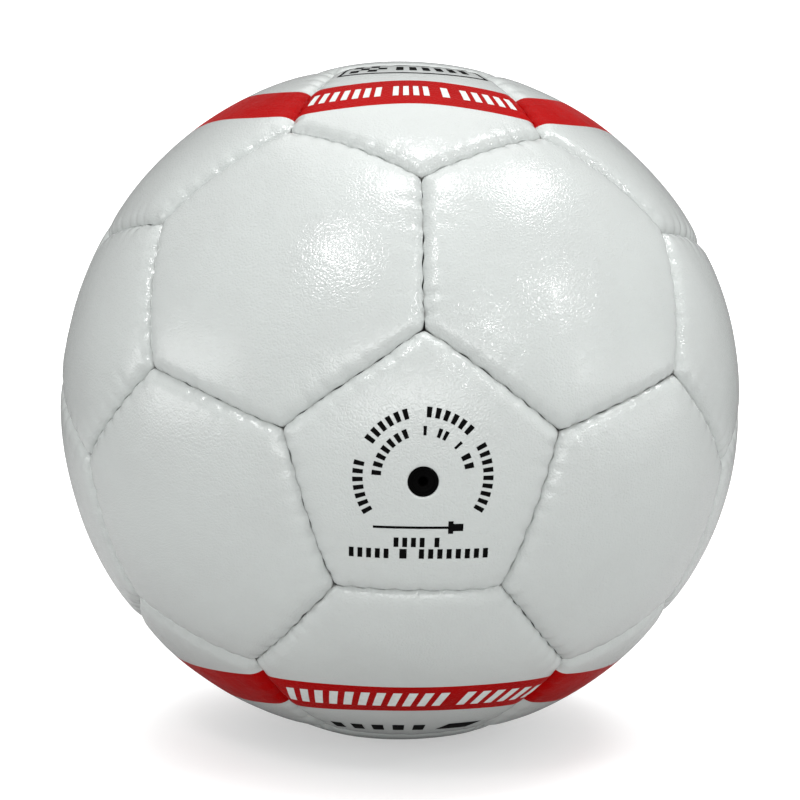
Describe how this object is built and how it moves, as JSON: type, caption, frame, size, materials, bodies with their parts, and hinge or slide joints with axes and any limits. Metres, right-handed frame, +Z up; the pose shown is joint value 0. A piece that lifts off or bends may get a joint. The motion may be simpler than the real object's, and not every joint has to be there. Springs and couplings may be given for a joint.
{
  "type": "soccer ball",
  "caption": "Hand-stitched ball of pentagon and hexagon panels in white synthetic leather with two printed red rings, over a rubber bladder with a pull-out valve core.",
  "frame": {"origin": "centre of the ball", "axes": "+Z up through the middle of a hexagon, which is the axis of the two printed rings; the valve's pentagon faces -Y, 10.8 degrees below level; +X to the right of someone who looks at the valve"},
  "size_m": [0.2004, 0.2006, 0.2006],
  "materials": {
    "cover_leather": "glossy grained synthetic leather",
    "lining_cloth": "woven cotton",
    "waxed_thread": "waxed twisted polyester",
    "bladder_rubber": "matte moulded rubber",
    "valve_rubber": "matte moulded rubber"
  },
  "bodies": {
    "ball": {"valve_panel": "cover_leather", "pentagon_panel_01": "cover_leather", "pentagon_panel_02": "cover_leather", "pentagon_panel_03": "cover_leather", "pentagon_panel_04": "cover_leather", "pentagon_panel_05": "cover_leather", "pentagon_panel_06": "cover_leather", "pentagon_panel_07": "cover_leather", "pentagon_panel_08": "cover_leather", "pentagon_panel_09": "cover_leather", "pentagon_panel_10": "cover_leather", "pentagon_panel_11": "cover_leather", "hexagon_panel_01": "cover_leather", "hexagon_panel_02": "cover_leather", "hexagon_panel_03": "cover_leather", "hexagon_panel_04": "cover_leather", "hexagon_panel_05": "cover_leather", "hexagon_panel_06": "cover_leather", "hexagon_panel_07": "cover_leather", "hexagon_panel_08": "cover_leather", "hexagon_panel_09": "cover_leather", "hexagon_panel_10": "cover_leather", "hexagon_panel_11": "cover_leather", "hexagon_panel_12": "cover_leather", "hexagon_panel_13": "cover_leather", "hexagon_panel_14": "cover_leather", "hexagon_panel_15": "cover_leather", "hexagon_panel_16": "cover_leather", "hexagon_panel_17": "cover_leather", "hexagon_panel_18": "cover_leather", "hexagon_panel_19": "cover_leather", "hexagon_panel_20": "cover_leather", "valve_lining": "lining_cloth", "pentagon_linings": "lining_cloth", "hexagon_linings": "lining_cloth", "stitch_threads": "waxed_thread", "bladder": "bladder_rubber", "valve_body": "valve_rubber", "valve_patch": "lining_cloth"},
    "valve_core": {"valve_core": "valve_rubber"}
  },
  "joints": [
    {"name": "valve_core_slide", "type": "slide", "parent": "ball", "child": "valve_core", "axis": [0, -0.9822, -0.1876], "range_m": [0, 0.022]}
  ]
}
